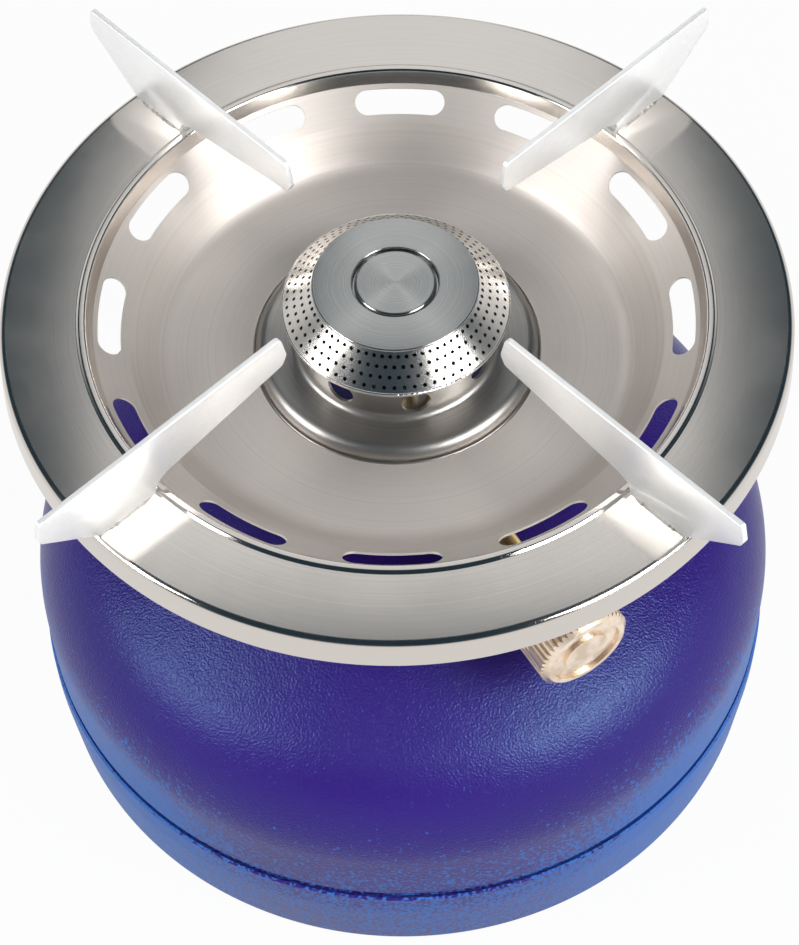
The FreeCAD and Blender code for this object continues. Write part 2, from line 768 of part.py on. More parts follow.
# Pan supports: upright blades welded on the flange
support_top = flange_z + SUPPORT_H
tip_r = RIM_R + SUPPORT_OVERHANG
weld_start = flange_inner_r + WELD_INSET
weld_end = RIM_R - RIM_EDGE_R - WELD_INSET
blade_corners = [
    (SUPPORT_INNER_R, support_top, SUPPORT_BEND_R),
    (tip_r, support_top, SUPPORT_TIP_R),
    (tip_r + SUPPORT_TIP_OUT, support_top - SUPPORT_TIP_DROP, SUPPORT_TIP_R),
    (tip_r + SUPPORT_TIP_BACK, flange_z + SUPPORT_NOSE_H, SUPPORT_TIP_R),
    (RIM_R - RIM_EDGE_R, flange_z, 0),
    (flange_inner_r + SUPPORT_HEEL, flange_z, 0),
    (flange_inner_r - SUPPORT_HEEL, flange_z + SUPPORT_HEEL_H, SUPPORT_HEEL_R),
    (flange_inner_r - SUPPORT_NOTCH_IN, flange_z + SUPPORT_NOTCH_H, SUPPORT_NOTCH_R),
    (SUPPORT_INNER_R, flange_z + SUPPORT_INNER_H, SUPPORT_BEND_R),
    (SUPPORT_INNER_R - SUPPORT_THROAT_W, flange_z + SUPPORT_NOSE_H, SUPPORT_BEND_R),
]
blade = Part.Face(rounded(blade_corners)).extrude(Vector(0, SUPPORT_T, 0))
blade.translate(Vector(0, -SUPPORT_T / 2, 0))
weld_root = Vector(weld_start, SUPPORT_T / 2, flange_z)
bead_face = Part.Face(Part.makePolygon([
    weld_root,
    weld_root + Vector(0, WELD_LEG, 0),
    weld_root + UP * WELD_LEG,
    weld_root,
]))
bead = bead_face.extrude(Vector(weld_end - weld_start, 0, 0))
mirrored = bead.mirror(ORIGIN, Vector(0, 1, 0))
welds = []
for k in range(SUPPORTS):
    angle = SUPPORT_START + 360 / SUPPORTS * k
    save("support_%d" % (k + 1), around(blade, angle))
    welds.append(around(bead, angle))
    welds.append(around(mirrored, angle))
save("support_welds", Part.makeCompound(welds))
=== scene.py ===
import math

import bmesh
import bpy
from mathutils import Matrix, Vector, noise


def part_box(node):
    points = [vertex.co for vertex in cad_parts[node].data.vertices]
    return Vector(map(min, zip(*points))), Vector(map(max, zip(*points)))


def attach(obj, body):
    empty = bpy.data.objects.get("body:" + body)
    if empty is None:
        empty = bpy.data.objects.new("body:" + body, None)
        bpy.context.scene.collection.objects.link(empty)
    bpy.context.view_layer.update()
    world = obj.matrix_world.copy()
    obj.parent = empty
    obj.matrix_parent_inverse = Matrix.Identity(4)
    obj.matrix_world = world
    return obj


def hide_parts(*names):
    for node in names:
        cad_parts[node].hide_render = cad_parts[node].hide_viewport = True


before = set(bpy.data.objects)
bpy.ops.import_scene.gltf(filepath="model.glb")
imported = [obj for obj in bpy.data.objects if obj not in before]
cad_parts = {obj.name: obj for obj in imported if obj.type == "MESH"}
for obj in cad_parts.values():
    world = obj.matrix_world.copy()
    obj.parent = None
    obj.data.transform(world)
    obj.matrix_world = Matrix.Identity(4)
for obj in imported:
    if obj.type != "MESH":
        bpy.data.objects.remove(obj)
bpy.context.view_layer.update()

# Camera: a long lens about 65 cm away, looking down on the front of the stove. The
# picture's frame is 799 by 945 pixels, and the pan's centre lies high in it.
PICTURE_W = 799
PICTURE_H = 945
FOCAL_PX = 2602.7
PAN_CENTRE_PX = (395.9, 302.0)
CAMERA_DISTANCE = 0.6505
CAMERA_ELEVATION = math.radians(52.3)
CAMERA_AZIMUTH = math.radians(-87.97)
CAMERA_ROLL = math.radians(-1.6)
SENSOR_MM = 36
PAN_PLANE_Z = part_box("support_1")[0][2]

target = Vector((0, 0, PAN_PLANE_Z))
outward = Vector((
    math.cos(CAMERA_ELEVATION) * math.cos(CAMERA_AZIMUTH),
    math.cos(CAMERA_ELEVATION) * math.sin(CAMERA_AZIMUTH),
    math.sin(CAMERA_ELEVATION)))
right = Vector((0, 0, 1)).cross(outward).normalized()
basis = Matrix((right, outward.cross(right), outward)).transposed()
towards_pan = Vector((
    PAN_CENTRE_PX[0] - PICTURE_W / 2,
    PICTURE_H / 2 - PAN_CENTRE_PX[1],
    -FOCAL_PX))
aim = towards_pan.rotation_difference(Vector((0, 0, -1))).to_matrix()
turned_basis = basis @ Matrix.Rotation(CAMERA_ROLL, 3, "Z") @ aim

lens = bpy.data.cameras.new("camera")
lens.sensor_fit = "HORIZONTAL"
lens.sensor_width = SENSOR_MM
lens.lens = FOCAL_PX / PICTURE_W * SENSOR_MM
camera = bpy.data.objects.new("camera", lens)
bpy.context.collection.objects.link(camera)
camera.matrix_world = Matrix.Translation(target + outward * CAMERA_DISTANCE) @ turned_basis.to_4x4()
bpy.context.scene.camera = camera
bpy.context.scene.view_settings.view_transform = "Standard"


# Floor and light: a sheet of pale paper, a long narrow softbox from overhead to the back,
# one to each side for the cylinder's highlights, and a large fill that metal doesn't show.
# The room is pale at the horizon and slate grey above, so the steel has both to show.
MM = 0.001
CREASE_ANGLE = 30
FLOOR_SIZE = 6.0
FLOOR_COLOUR = (0.34, 0.35, 0.37, 1)
FLOOR_FLECK = (0.8, 0.8, 0.8, 1)
FLOOR_WHITE_SHARE = 0.96
ROOM_LOW = (0.96, 0.96, 0.96, 1)
ROOM_HIGH = (0.022, 0.044, 0.062, 1)
ROOM_TURN_START = 0.13
ROOM_TURN_END = 0.42
STOVE_MIDDLE = (0, 0, 0.12)
SOFTBOXES = {
    "strip": {
        "place": (-0.03, 2.25, 1.6), "aim": (-0.03, 2.25, 0), "size": (0.70, 3.3),
        "radiance": 0.74, "in_metal": True},
    "left": {
        "place": (-1.05, -0.33, 1.06), "aim": STOVE_MIDDLE, "size": (0.55, 0.55),
        "radiance": 10.5, "in_metal": True},
    "right": {
        "place": (0.92, -0.56, 1.06), "aim": STOVE_MIDDLE, "size": (0.6, 0.6),
        "radiance": 13.5, "in_metal": True},
    "fill": {
        "place": (0.0, -1.1, 1.7), "aim": STOVE_MIDDLE, "size": (2.4, 1.6),
        "radiance": 1.7, "in_metal": False},
}


class Value:
    """One output of a node, so that shader maths is written as maths."""

    def __init__(self, tree, socket):
        self.tree = tree
        self.socket = socket

    def combine(self, operation, first, second):
        node = self.tree.nodes.new("ShaderNodeMath")
        node.operation = operation
        for slot, item in zip(node.inputs, (first, second)):
            if isinstance(item, Value):
                self.tree.links.new(item.socket, slot)
            else:
                slot.default_value = item
        return Value(self.tree, node.outputs[0])

    def __add__(self, other):
        return self.combine("ADD", self, other)

    def __mul__(self, other):
        return self.combine("MULTIPLY", self, other)

    def __pow__(self, other):
        return self.combine("POWER", self, other)

    __radd__ = __add__
    __rmul__ = __mul__


class Shading:
    """The nodes of one shader. Constants go on its own sockets; feed() links what varies."""

    def __init__(self, owner, shader, constants):
        owner.use_nodes = True
        self.owner = owner
        self.tree = owner.node_tree
        self.shader = self.tree.nodes[shader]
        for socket, value in constants.items():
            self.shader.inputs[socket].default_value = value

    def node(self, kind, settings=(), inputs=(), output=0):
        """A new node: its settings come first, then the values or links of its sockets."""
        node = self.tree.nodes.new(kind)
        for name, value in dict(settings).items():
            setattr(node, name, value)
        for name, value in dict(inputs).items():
            if isinstance(value, Value):
                self.tree.links.new(value.socket, node.inputs[name])
            else:
                node.inputs[name].default_value = value
        return node if output is None else Value(self.tree, node.outputs[output])

    def fade(self, value, low, high, start=0.0):
        """A smooth change from start at low to 1 at high. Either of the two may be the larger."""
        return self.node("ShaderNodeMapRange", {"interpolation_type": "SMOOTHSTEP"},
                         {0: value, 1: low, 2: high, 3: start})

    def blend(self, share, first, second):
        return self.node("ShaderNodeMix", {"data_type": "RGBA"}, {0: share, 6: first, 7: second}, 2)

    def feed(self, links):
        for socket, value in links.items():
            self.tree.links.new(value.socket, self.shader.inputs[socket])
        return self.owner


class Finish(Shading):
    """A material whose finish goes by the place on the object and the distance from its axis."""

    def __init__(self, name, constants):
        super().__init__(bpy.data.materials.new(name), "Principled BSDF", constants)
        self.place = self.node("ShaderNodeTexCoord", output="Object")
        across = self.node("ShaderNodeSeparateXYZ", inputs={0: self.place}, output=None)
        self.x, self.y, self.z = (Value(self.tree, across.outputs[k]) for k in range(3))
        self.radius = (self.x * self.x + self.y * self.y) ** 0.5

    def noise(self, scale, detail, place=None):
        return self.node(
            "ShaderNodeTexNoise",
            inputs={"Vector": place or self.place, "Scale": scale, "Detail": detail}, output="Fac")

    def line_noise(self, along, scale, detail):
        """Noise that varies along one value only, such as the distance from the axis."""
        return self.node(
            "ShaderNodeTexNoise", {"noise_dimensions": "1D"},
            {"W": along, "Scale": scale, "Detail": detail}, "Fac")

    def bump(self, height, distance, strength):
        return self.node(
            "ShaderNodeBump", inputs={"Height": height, "Distance": distance, "Strength": strength})


def mesh_piece(name, vertices, faces, smooth_angle=CREASE_ANGLE):
    """A new object from points in millimetres, smooth except at edges past smooth_angle."""
    mesh = bpy.data.meshes.new(name)
    mesh.from_pydata([Vector(v) * MM for v in vertices], [], faces)
    mesh.validate()
    work = bmesh.new()
    work.from_mesh(mesh)
    bmesh.ops.remove_doubles(work, verts=work.verts, dist=1e-7)
    bmesh.ops.recalc_face_normals(work, faces=work.faces)
    work.to_mesh(mesh)
    work.free()
    mesh.shade_smooth()
    mesh.set_sharp_from_angle(angle=math.radians(smooth_angle))
    piece = bpy.data.objects.new(name, mesh)
    bpy.context.collection.objects.link(piece)
    return piece


half = FLOOR_SIZE / 2 / MM
floor = mesh_piece(
    "floor", [(-half, -half, 0), (half, -half, 0), (half, half, 0), (-half, half, 0)], [(0, 1, 2, 3)])
floor_finish = Finish("floor_paper", {"Roughness": 0.9})
grain = floor_finish.noise(900, 3)
paper = floor_finish.feed({"Base Color": floor_finish.blend(grain * 0.04, FLOOR_COLOUR, FLOOR_FLECK)})
white = floor_finish.node("ShaderNodeEmission", inputs={"Color": (1, 1, 1, 1), "Strength": 1.0})
ray = floor_finish.node("ShaderNodeLightPath", output=None)
seen, in_gloss, in_glass = (
    Value(floor_finish.tree, ray.outputs[kind])
    for kind in ("Is Camera Ray", "Is Glossy Ray", "Is Transmission Ray"))
shader_out = Value(floor_finish.tree, floor_finish.shader.outputs[0])
mixed = floor_finish.node("ShaderNodeMixShader", inputs={
    0: (seen + in_gloss + in_glass) * FLOOR_WHITE_SHARE, 1: shader_out, 2: white})
floor_finish.tree.links.new(mixed.socket, floor_finish.tree.nodes["Material Output"].inputs["Surface"])
floor.data.materials.append(paper)

for name, box in SOFTBOXES.items():
    lamp = bpy.data.lights.new(name, "AREA")
    lamp.shape = "RECTANGLE"
    lamp.size, lamp.size_y = box["size"]
    lamp.energy = 4 * box["radiance"] * lamp.size * lamp.size_y
    softbox = bpy.data.objects.new(name, lamp)
    softbox.location = Vector(box["place"])
    towards = softbox.location - Vector(box["aim"])
    softbox.rotation_euler = towards.to_track_quat("Z", "Y").to_euler()
    softbox.visible_glossy = box["in_metal"]
    bpy.context.collection.objects.link(softbox)

room = Shading(bpy.data.worlds.new("room"), "Background", {})
direction = room.node("ShaderNodeTexCoord", output="Generated")
height = room.node("ShaderNodeSeparateXYZ", inputs={0: direction}, output="Z")
wall = room.blend(room.fade(height, ROOM_TURN_START, ROOM_TURN_END), ROOM_LOW, ROOM_HIGH)
bpy.context.scene.world = room.feed({"Color": wall})


# Gas cylinder: a domed upper shell and a foot ring of pressed steel, lapped and welded,
# then enamelled violet-blue all over. The enamel has a fine orange peel. Pale blue specks
# thicken towards the foot and towards the sides as seen from the front: they are chalking,
# and painted sheen, the reflection of the pale floor and room painted into the colour.
CYLINDER_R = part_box("upper_shell")[1][0] / MM
DOME_KNUCKLE_R = 33.0
DOME_CROWN_R = 195.0
DOME_BASE_Z = 49.5
SHELL_T = 2.5
BOSS_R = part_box("neck_boss")[1][0] / MM
FOOT_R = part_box("foot_ring")[1][0] / MM
FOOT_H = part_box("foot_ring")[1][2] / MM
FOOT_T = 2.0
FOOT_TAPER = 1.7
FOOT_ROLL_W = 6.0
JOGGLE_H = 2.2
SEAM_GAP = 0.3
LAP_END_Z = 22.8
LAP_GAP = 0.3
ENAMEL_DARK = (0.017, 0.0003, 0.112, 1)
ENAMEL_LIGHT = (0.022, 0.0006, 0.140, 1)
# Pale blue of chalking, and of painted sheen: the pale floor and room's reflection at the sides and foot.
CHALK_AND_SHEEN_BLUE = (0.028, 0.098, 0.35, 1)
ENAMEL_SHEEN = (0.40, 0.72, 1.0, 1)
MIDDLE_X_SQUARED = 0.0004
SIDE_X_SQUARED = 0.0060
SPECKS_START = 1.38
SPECKS_FULL = 1.64
FILLET_STEPS = 8
LEAST_BEND = 0.05
OUTSIDE_STEPS = 40
INSIDE_STEPS = 24
LATHE_SEGMENTS = 288


def arc(centre, radius, start, end, steps):
    """Points (r, z) on an arc between two angles in degrees."""
    points = []
    for k in range(steps + 1):
        angle = math.radians(start + (end - start) * k / steps)
        points.append((centre[0] + radius * math.cos(angle), centre[1] + radius * math.sin(angle)))
    return points


def rounded(corners):
    """Closed outline through (r, z, fillet radius) corners."""
    points = []
    for i, (r, z, radius) in enumerate(corners):
        here = Vector((r, z))
        if radius <= 0:
            points.append((r, z))
            continue
        a = (Vector(corners[i - 1][:2]) - here).normalized()
        b = (Vector(corners[(i + 1) % len(corners)][:2]) - here).normalized()
        half_angle = a.angle(b) / 2
        centre = here + (a + b).normalized() * (radius / math.sin(half_angle))
        first = here + a * (radius / math.tan(half_angle)) - centre
        last = here + b * (radius / math.tan(half_angle)) - centre
        sweep = math.atan2(first.x * last.y - first.y * last.x, first.dot(last))
        for k in range(FILLET_STEPS + 1):
            turn = sweep * k / FILLET_STEPS
            points.append((
                centre.x + first.x * math.cos(turn) - first.y * math.sin(turn),
                centre.y + first.x * math.sin(turn) + first.y * math.cos(turn)))
    return points


def lathe(name, outline, segments=LATHE_SEGMENTS):
    """A ring turned from a closed outline of (r, z) points; points on the axis are merged."""
    vertices = []
    faces = []
    count = len(outline)
    for k in range(segments):
        angle = 2 * math.pi * k / segments
        for r, z in outline:
            vertices.append((r * math.cos(angle), r * math.sin(angle), z))
    for k in range(segments):
        after = (k + 1) % segments
        for i in range(count):
            j = (i + 1) % count
            faces.append((k * count + i, k * count + j, after * count + j, after * count + i))
    return mesh_piece(name, vertices, faces)


def sheet_outline(path, thickness):
    """Outline of revolved sheet metal below an upper path of (r, z, fillet) corners."""
    normals = []
    for (r1, z1, _), (r2, z2, _) in zip(path, path[1:]):
        along = Vector((r2 - r1, z2 - z1)).normalized()
        normals.append(Vector((along.y, -along.x)))
    under = []
    for i, (r, z, fillet) in enumerate(path):
        before = normals[max(i - 1, 0)]
        after = normals[min(i, len(normals) - 1)]
        mean = (before + after).normalized()
        shift = mean * (thickness / mean.dot(before))
        turn = before.y * after.x - before.x * after.y
        bend = fillet + thickness if turn > 0 else fillet - thickness
        bend = 0 if i in (0, len(path) - 1) else max(bend, LEAST_BEND)
        under.append((r + shift.x, z + shift.y, bend))
    return rounded(path + under[::-1])


def install(piece, node, body, material):
    """Puts a modelled piece in the place of its CAD node."""
    piece.data.materials.clear()
    piece.data.materials.append(material)
    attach(piece, body)
    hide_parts(node)


def dress(nodes, material):
    """Gives CAD nodes a finish."""
    for name in nodes:
        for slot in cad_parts[name].material_slots:
            slot.material = material


def enamel(name, chalk_and_sheen_top, chalk_and_sheen_full, at_centre):
    """Enamel with pale blue specks above and nearly all over at its foot: chalking and painted sheen."""
    paint = Finish(name, {"Specular IOR Level": 0.55, "Specular Tint": ENAMEL_SHEEN})
    clouds = paint.noise(22, 3)
    peel = paint.noise(1700, 1)
    ripple = paint.noise(90, 2)
    # More pale blue towards the sides as the camera sees them: painted sheen where the body turns away.
    painted_sheen_sideways = paint.fade(paint.x * paint.x, MIDDLE_X_SQUARED, SIDE_X_SQUARED, at_centre)
    chalk_and_sheen_amount = paint.fade(paint.z, chalk_and_sheen_top, chalk_and_sheen_full) * painted_sheen_sideways * (0.7 + clouds * 0.6)
    specks = paint.noise(900, 3)
    # The specks blend the enamel to pale blue: chalking, and painted sheen.
    chalk_and_sheen = paint.fade(specks * 2 + chalk_and_sheen_amount * 0.9, SPECKS_START, SPECKS_FULL)
    return paint.feed({
        "Base Color": paint.blend(chalk_and_sheen, paint.blend(clouds, ENAMEL_DARK, ENAMEL_LIGHT), CHALK_AND_SHEEN_BLUE),
        "Roughness": 0.33 + clouds * 0.06 + chalk_and_sheen * 0.15,
        "Normal": paint.bump(peel + ripple * 1.2, 0.00020, 0.9)})


reach = CYLINDER_R - DOME_KNUCKLE_R
lift = math.sqrt((DOME_CROWN_R - DOME_KNUCKLE_R) ** 2 - reach ** 2)
crown_z = DOME_BASE_Z - lift
meet = math.degrees(math.atan2(lift, reach))
lap_r = FOOT_R - FOOT_T - LAP_GAP
joggle_low = FOOT_H + SEAM_GAP
joggle_top = joggle_low + JOGGLE_H
outside = [(lap_r, LAP_END_Z), (lap_r, joggle_low), (CYLINDER_R, joggle_top)]
outside += arc((reach, DOME_BASE_Z), DOME_KNUCKLE_R, 0, meet, OUTSIDE_STEPS)
boss_angle = math.degrees(math.acos(BOSS_R / DOME_CROWN_R))
outside += arc((0, crown_z), DOME_CROWN_R, meet, boss_angle, OUTSIDE_STEPS)[1:]
inner_boss_angle = math.degrees(math.acos(BOSS_R / (DOME_CROWN_R - SHELL_T)))
inside = arc((0, crown_z), DOME_CROWN_R - SHELL_T, inner_boss_angle, meet, INSIDE_STEPS)
inside += arc((reach, DOME_BASE_Z), DOME_KNUCKLE_R - SHELL_T, meet, 0, INSIDE_STEPS)[1:]
inside += [(CYLINDER_R - SHELL_T, joggle_top), (lap_r - SHELL_T, joggle_low), (lap_r - SHELL_T, LAP_END_Z)]
dome = lathe("cylinder_shell", outside + inside)
install(dome, "upper_shell", "cylinder", enamel("enamel_shell", 0.074, 0.034, 0.42))

foot_low_r = FOOT_R - FOOT_TAPER
foot = lathe("cylinder_foot", sheet_outline([
    (foot_low_r - FOOT_ROLL_W, 0, 0),
    (foot_low_r, 0, 3.5),
    (FOOT_R, FOOT_H - 8.0, 40.0),
    (FOOT_R, FOOT_H - 0.6, 0.5),
    (FOOT_R - 0.6, FOOT_H, 0),
], -FOOT_T))
install(foot, "foot_ring", "cylinder", enamel("enamel_foot", 0.050, 0.024, 0.58))
dress(["lower_shell"], enamel("enamel_bottom", 0.030, 0.0, 0.3))


# Valves: the cylinder's boss and ball valve, and the stove's valve, stem and jet, are brass
# turned from bar, so they have fine lathe marks and have dulled unevenly. The seals in them
# are black rubber, the ball and its spring steel, and the jet's filter sintered bronze.
BRASS_BRIGHT = (0.72, 0.53, 0.24, 1)
BRASS_DULL = (0.46, 0.32, 0.15, 1)
RUBBER_BLACK = (0.022, 0.022, 0.023, 1)
RUBBER_BLOOM = (0.05, 0.05, 0.052, 1)
SPRING_STEEL = (0.7, 0.7, 0.7, 1)
SPRING_STEEL_DULL = (0.5, 0.5, 0.5, 1)
BRONZE = (0.5, 0.36, 0.2, 1)
BRONZE_DULL = (0.3, 0.2, 0.1, 1)
LATHE_MARKS = 1400


def turned_metal(name, bright, dull, roughness):
    metal = Finish(name, {"Metallic": 1.0})
    stain = metal.fade(metal.noise(140, 4), 0.35, 0.7)
    rings = metal.line_noise(metal.radius + metal.z * 1.7, LATHE_MARKS, 3)
    return metal.feed({
        "Base Color": metal.blend(stain * 0.7, bright, dull),
        "Roughness": roughness + stain * 0.12 + rings * 0.08,
        "Normal": metal.bump(rings, 0.00004, 0.5)})


def moulded_rubber(name):
    rubber = Finish(name, {"Specular IOR Level": 0.4})
    bloom = rubber.noise(300, 4)
    return rubber.feed({
        "Base Color": rubber.blend(bloom, RUBBER_BLACK, RUBBER_BLOOM),
        "Roughness": 0.55 + bloom * 0.25,
        "Normal": rubber.bump(bloom, 0.00005, 0.4)})


brass = turned_metal("turned_brass", BRASS_BRIGHT, BRASS_DULL, 0.2)
rubber = moulded_rubber("nitrile_rubber")
dress(["neck_boss", "valve_cage", "valve_body", "push_pin", "needle", "stem", "gland_nut", "jet"], brass)
dress(["valve_seat", "inlet_seal", "packing_ring"], rubber)
dress(["valve_ball", "valve_spring"], turned_metal("bright_steel", SPRING_STEEL, SPRING_STEEL_DULL, 0.15))
dress(["jet_filter"], turned_metal("sintered_bronze", BRONZE, BRONZE_DULL, 0.5))


# Knob: brass bar, fluted round its rim and plated with warm nickel, which handling has
# dulled in patches. Its face is plain inside a bevelled ring.
NICKEL = (0.96, 0.81, 0.66, 1)
NICKEL_DULL = (0.74, 0.60, 0.46, 1)

knob_plate = Finish("warm_nickel", {"Metallic": 1.0})
handled = knob_plate.fade(knob_plate.noise(210, 4), 0.35, 0.65)
fine = knob_plate.noise(2200, 2)
dress(["knob"], knob_plate.feed({
    "Base Color": knob_plate.blend(handled, NICKEL, NICKEL_DULL),
    "Roughness": 0.3 + handled * 0.12,
    "Normal": knob_plate.bump(fine, 0.00003, 0.4)}))


# Mixing tube: plain turned steel, screwed on the valve body's nipple. It carries the air
# bell and the burner base at its top.
TUBE_STEEL = (0.62, 0.61, 0.59, 1)
TUBE_STEEL_DULL = (0.42, 0.41, 0.4, 1)

dress(["mixing_tube"], turned_metal("turned_steel", TUBE_STEEL, TUBE_STEEL_DULL, 0.25))


# Air bell: a dull stainless pressing, clamped under the burner base. Its steel is coloured darker
# than the other stainless: painted shade from the burner head above. Eight air holes in its
# neck; its flange lies under the pan's floor and closes the pan's hole.
# Darker steel colours: painted shade under the burner head.
BELL_STEEL_SHADED = (0.52, 0.50, 0.475, 1)
BELL_STEEL_SHADED_TINT = (0.27, 0.255, 0.24, 1)
FLANGE_Z = PAN_PLANE_Z / MM
PAN_T = 0.6
BOWL_DEPTH = 18.0
BELL_T = 0.8
BELL_R = 36.0
BELL_FLANGE_W = 4.5
BELL_NECK_R = 25.2
BELL_RISE = 3.4
BELL_HOLES = 8
BELL_HOLE_R = 3.7
BELL_HOLE_DROP = 7.7
BELL_HOLE_ANGLE = -78.0
BELL_DRILL_START = 3
BELL_DRILL_L = 8
BELL_DRILL_SIDES = 32
TUBE_R = 8.0
TUBE_GAP = 0.1


def spun_steel(name, colour, tint, roughness, anisotropic, marks=1500, mark_depth=0.000006, metallic=1.0):
    """Stainless with fine marks round the axis, so that its shine spreads away from the axis."""
    steel = Finish(name, {"Metallic": metallic, "Anisotropic": anisotropic, "Anisotropic Rotation": 0.25})
    rings = steel.line_noise(steel.radius, marks, 3)
    haze = steel.noise(18, 2)
    smears = steel.fade(steel.noise(60, 3), 0.35, 0.85)
    return steel.feed({
        "Base Color": steel.blend(haze * 0.5 + rings * 0.5, colour, tint),
        "Roughness": roughness + rings * 0.02 + smears * 0.03,
        "Normal": steel.bump(rings, mark_depth, 0.25)})


def drilled(piece, cutters):
    """Cuts a joined cutter mesh out of a piece and leaves plain mesh."""
    cut = piece.modifiers.new("cut", "BOOLEAN")
    cut.operation = "DIFFERENCE"
    cut.solver = "EXACT"
    cut.object = cutters
    bpy.context.view_layer.update()
    evaluated = piece.evaluated_get(bpy.context.evaluated_depsgraph_get())
    piece.data = bpy.data.meshes.new_from_object(evaluated)
    piece.modifiers.clear()
    bpy.data.objects.remove(cutters)
    piece.data.shade_smooth()
    piece.data.set_sharp_from_angle(angle=math.radians(CREASE_ANGLE))
    return piece


def drills(name, holes, radius, depth, sides):
    """Cylinders to cut with, each given as its mouth, its direction inwards and its depth."""
    vertices = []
    faces = []
    for mouth, inward in holes:
        side = inward.orthogonal().normalized()
        up = inward.cross(side)
        first = len(vertices)
        for end in (0, depth):
            for k in range(sides):
                angle = 2 * math.pi * k / sides
                rim = (side * math.cos(angle) + up * math.sin(angle)) * radius
                vertices.append(mouth + inward * end + rim)
        for k in range(sides):
            after = (k + 1) % sides
            faces.append((first + k, first + after, first + sides + after, first + sides + k))
        faces.append([first + k for k in range(sides)][::-1])
        faces.append([first + sides + k for k in range(sides)])
    return mesh_piece(name, vertices, faces)


def spoke(angle):
    return Vector((math.cos(math.radians(angle)), math.sin(math.radians(angle)), 0))


head_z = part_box("burner_base")[0][2] / MM
floor_z = FLANGE_Z - BOWL_DEPTH
shoulder_z = floor_z + BELL_RISE
bell = lathe("air_bell_pressing", sheet_outline([
    (TUBE_R + TUBE_GAP, head_z, 0),
    (BELL_NECK_R, head_z, 1.4),
    (BELL_NECK_R, shoulder_z + 0.5, 2.0),
    (BELL_R, shoulder_z, 3.0),
    (BELL_R, floor_z - PAN_T, 0.6),
    (BELL_R + BELL_FLANGE_W, floor_z - PAN_T, 0),
], BELL_T))
bell_holes = []
for k in range(BELL_HOLES):
    out = spoke(BELL_HOLE_ANGLE + 360 / BELL_HOLES * k)
    mouth = out * (BELL_NECK_R + BELL_DRILL_START) + Vector((0, 0, head_z - BELL_HOLE_DROP))
    bell_holes.append((mouth, -out))
drilled(bell, drills("bell_drills", bell_holes, BELL_HOLE_R, BELL_DRILL_L, BELL_DRILL_SIDES))
install(bell, "air_bell", "stove",
        spun_steel("dull_bell", BELL_STEEL_SHADED, BELL_STEEL_SHADED_TINT, 0.36, 0.3))


# Pan: one spun blank of stainless. Floor with the burner's hole, sloped ledge with twelve
# punched slots, a small bead, the wide flange and a short skirt. The bowl and its ledge are
# satin, and the flange is polished.
FLANGE_STEEL = (0.68, 0.635, 0.59, 1)
FLANGE_STEEL_TINT = (0.60, 0.56, 0.52, 1)
BOWL_STEEL = (0.72, 0.665, 0.62, 1)
BOWL_STEEL_TINT = (0.54, 0.49, 0.45, 1)
RIM_R = 99.0
FLANGE_INNER_R = 79.8
LEDGE_OUTER_R = 75.9
LEDGE_INNER_R = 67.4
LEDGE_DROP = 3.15
LEDGE_SLOPE = math.radians(34)
BOWL_FLOOR_R = 59.5
BEAD_RISE = 0.5
BEAD_W = 2.3
BEAD_OUTER_W = 0.7
SKIRT_H = 8.0
SKIRT_FLARE = 0.6
PAN_HOLE_GAP = 0.8
PAN_SEGMENTS = 384
SLOTS = 12
SLOT_W = 6.8
SLOT_SPAN = 19.0
SLOT_MID_R = 72.0
SLOT_CUT_H = 2
SLOT_END_STEPS = 10
SLOT_SIDE_STEPS = 20
SLOT_END_ANGLE = 3

ledge_outer_z = FLANGE_Z - LEDGE_DROP
ledge_inner_z = ledge_outer_z - (LEDGE_OUTER_R - LEDGE_INNER_R) * math.tan(LEDGE_SLOPE)
pan = lathe("pan_spinning", sheet_outline([
    (BELL_R + PAN_HOLE_GAP, floor_z, 0),
    (BOWL_FLOOR_R, floor_z, 8.0),
    (LEDGE_INNER_R, ledge_inner_z, 1.2),
    (LEDGE_OUTER_R, ledge_outer_z, 0.8),
    (FLANGE_INNER_R - BEAD_W, FLANGE_Z + BEAD_RISE, 0.8),
    (FLANGE_INNER_R - BEAD_OUTER_W, FLANGE_Z + BEAD_RISE, 0.8),
    (FLANGE_INNER_R, FLANGE_Z, 0.3),
    (RIM_R, FLANGE_Z, 1.8),
    (RIM_R + SKIRT_FLARE, FLANGE_Z - SKIRT_H, 0),
], PAN_T), PAN_SEGMENTS)


